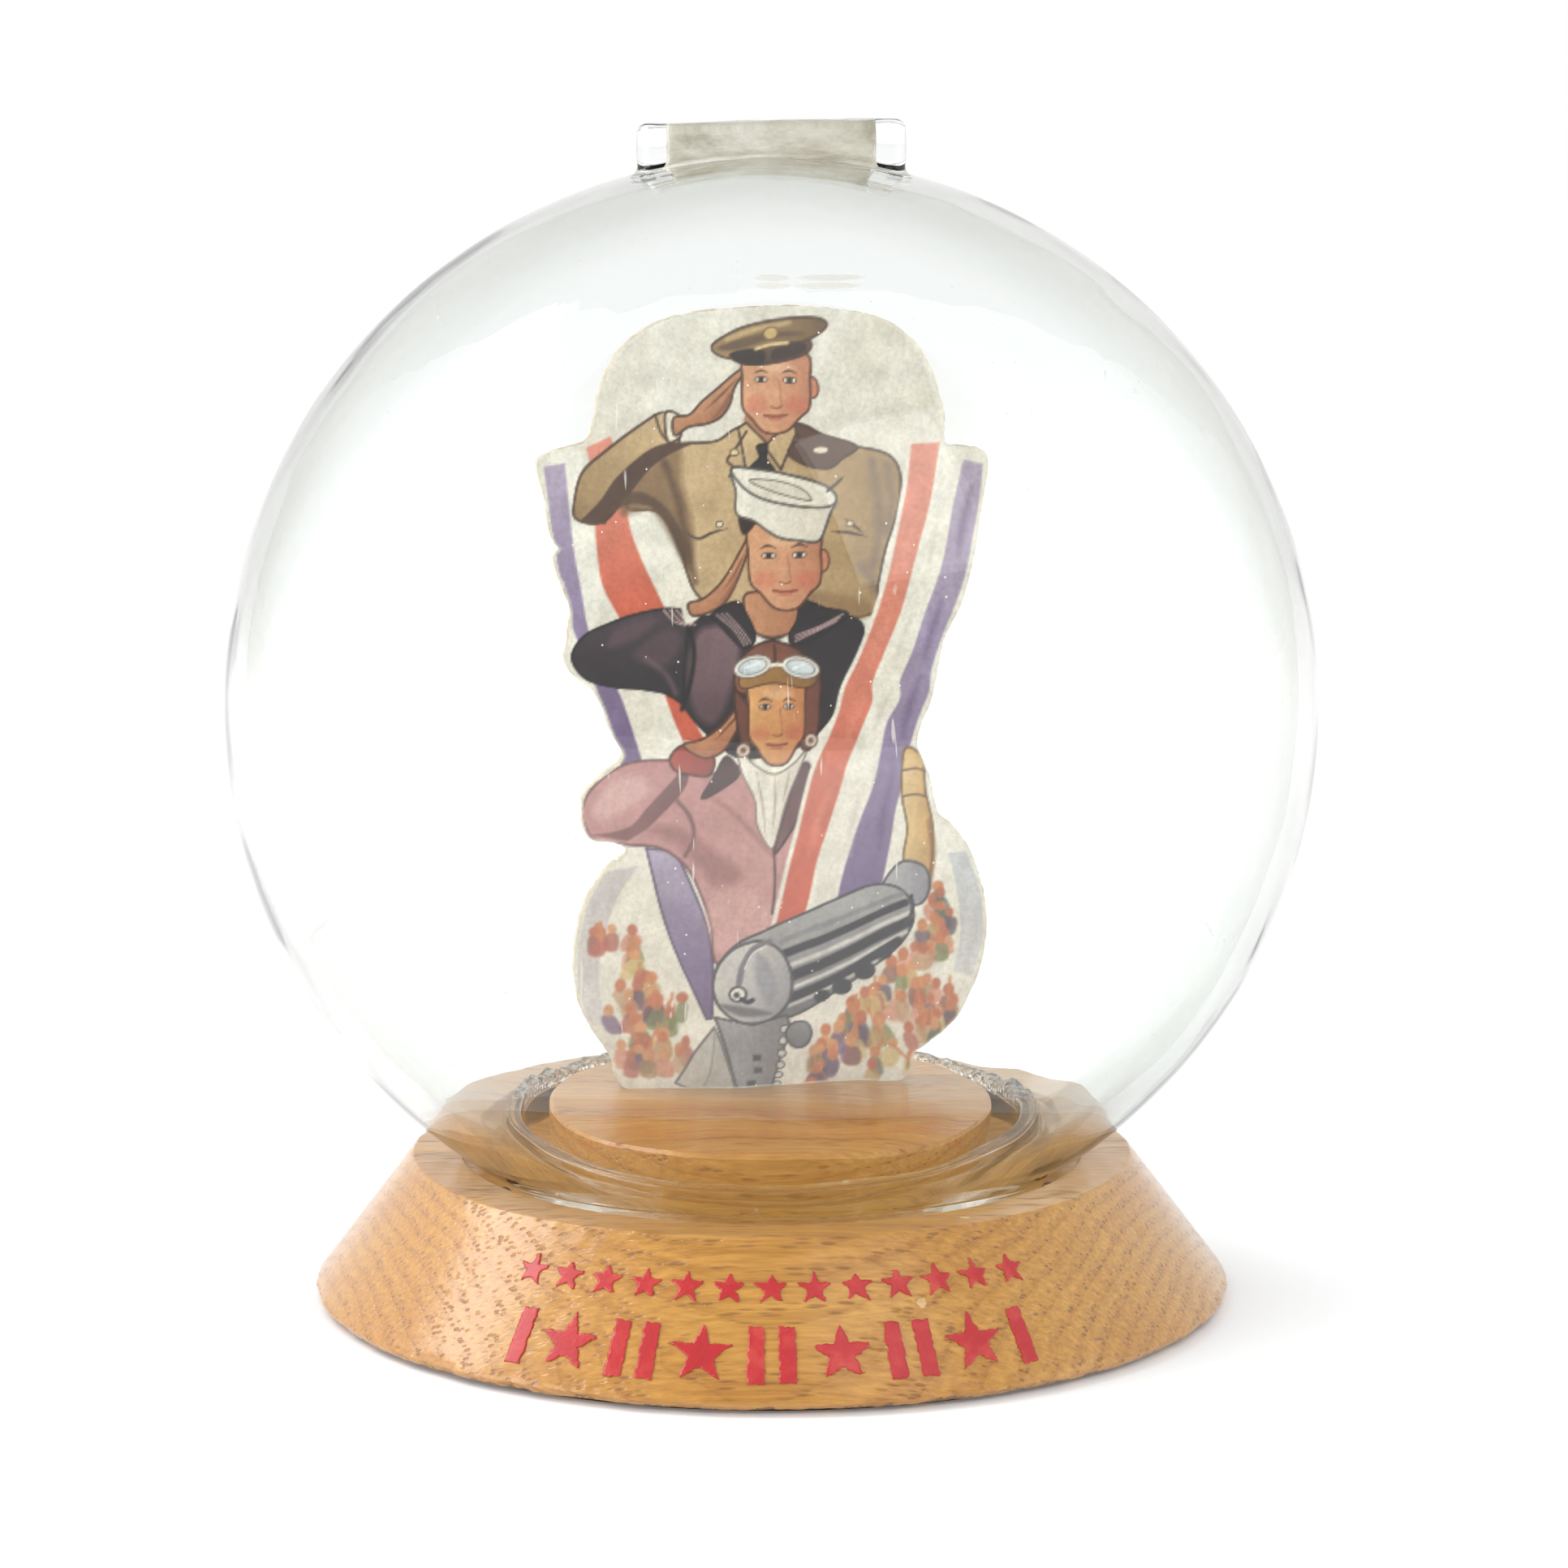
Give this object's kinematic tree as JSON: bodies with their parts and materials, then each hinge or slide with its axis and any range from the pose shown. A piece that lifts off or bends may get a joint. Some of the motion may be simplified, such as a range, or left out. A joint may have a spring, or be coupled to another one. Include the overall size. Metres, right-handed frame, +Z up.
{
  "type": "glass globe coin bank",
  "caption": "Clear glass globe with a moulded coin slot collar, on a turned oak base, around a die-cut picture card that stands in a disc inside it.",
  "frame": {"origin": "on the ground, under the middle of the round base", "axes": "+Z up through the coin slot, the picture and the painted ornament face -Y, the slot's length lies along X"},
  "size_m": [0.168, 0.168, 0.1816],
  "materials": {
    "oak": "satin",
    "disc_oak": "satin",
    "felt": "matte",
    "clear_glass": "gloss",
    "chipboard": "matte",
    "printed_paper": "matte",
    "red_paint": "satin",
    "old_glue": "satin"
  },
  "bodies": {
    "base": {"oak_base": "oak", "felt_pad": "felt", "locating_disc": "disc_oak", "upper_paint_row": "red_paint", "lower_paint_row": "red_paint", "glue_dabs": "old_glue"},
    "globe": {"glass_globe": "clear_glass"},
    "card": {"picture_card": "chipboard", "picture_print": "printed_paper"}
  },
  "joints": [
    {"name": "globe_lift", "type": "slide", "parent": "base", "child": "globe", "axis": [0, 0, 1], "range_m": [0, 0.136]},
    {"name": "card_lift", "type": "slide", "parent": "base", "child": "card", "axis": [0, 0, 1], "range_m": [0, 0.008]}
  ]
}
